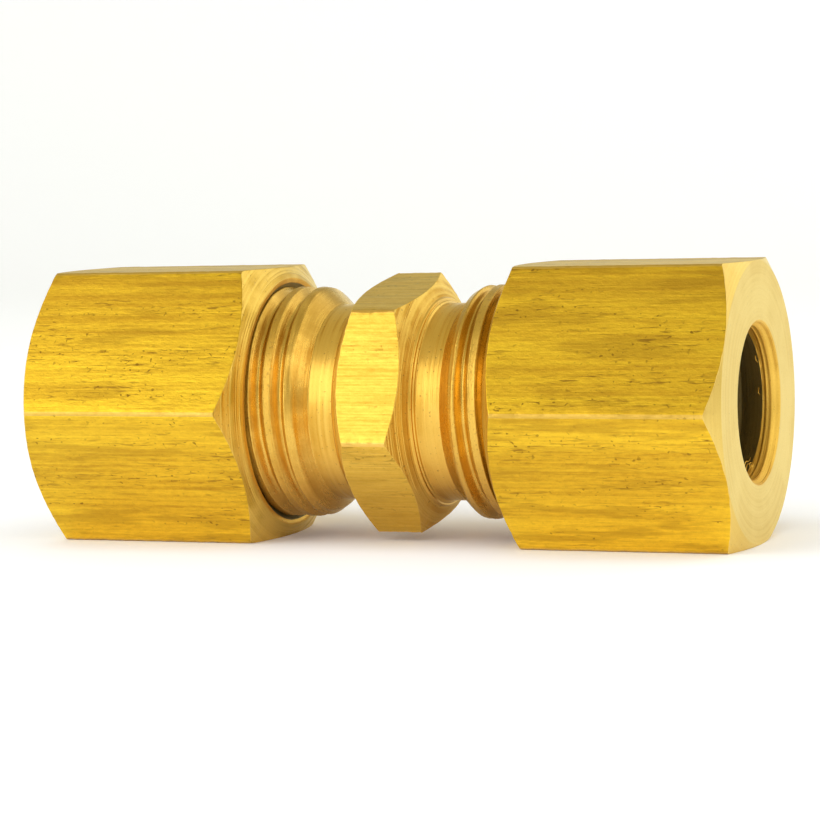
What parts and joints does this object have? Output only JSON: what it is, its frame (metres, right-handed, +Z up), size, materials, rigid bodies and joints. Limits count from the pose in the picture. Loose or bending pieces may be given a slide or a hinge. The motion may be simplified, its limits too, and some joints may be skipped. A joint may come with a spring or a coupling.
{
  "type": "compression fitting",
  "caption": "Brass compression union for small tubing: a hexagonal body with threaded ends, and a hexagonal nut screwed on each end over a sleeve.",
  "frame": {"origin": "middle of the union body on the tube axis, which is the middle of the whole fitting", "axes": "+X along the tubes towards the right nut's outer end, +Z up with the nuts resting on a flat, +Y completes the right-handed frame"},
  "size_m": [0.0336, 0.0146, 0.0126],
  "materials": {
    "body_brass": "machined brass with turning marks",
    "nut_brass": "drawn hexagon bar flats, turned ends",
    "ferrule_brass": "fine turned brass"
  },
  "bodies": {
    "union_body": {"union_body": "body_brass"},
    "left_ferrule": {"left_ferrule": "ferrule_brass"},
    "left_nut": {"left_nut": "nut_brass"},
    "right_ferrule": {"right_ferrule": "ferrule_brass"},
    "right_nut": {"right_nut": "nut_brass"}
  },
  "joints": [
    {"name": "right_nut_turn", "type": "hinge", "parent": "union_body", "child": "right_ferrule", "pos_m": [0.0081, 0, 0], "axis": [1, 0, 0], "range_deg": [-432, 1800]},
    {"name": "right_nut_advance", "type": "slide", "parent": "right_ferrule", "child": "right_nut", "axis": [1, 0, 0], "range_m": [-0.00127, 0.00529]},
    {"name": "left_nut_turn", "type": "hinge", "parent": "union_body", "child": "left_ferrule", "pos_m": [-0.0081, 0, 0], "axis": [-1, 0, 0], "range_deg": [-432, 1800]},
    {"name": "left_nut_advance", "type": "slide", "parent": "left_ferrule", "child": "left_nut", "axis": [-1, 0, 0], "range_m": [-0.00127, 0.00529]}
  ],
  "couplings": [
    {"joint": "right_nut_advance", "follows": "right_nut_turn", "m_per_rad": 0.00016844},
    {"joint": "left_nut_advance", "follows": "left_nut_turn", "m_per_rad": 0.00016844}
  ]
}
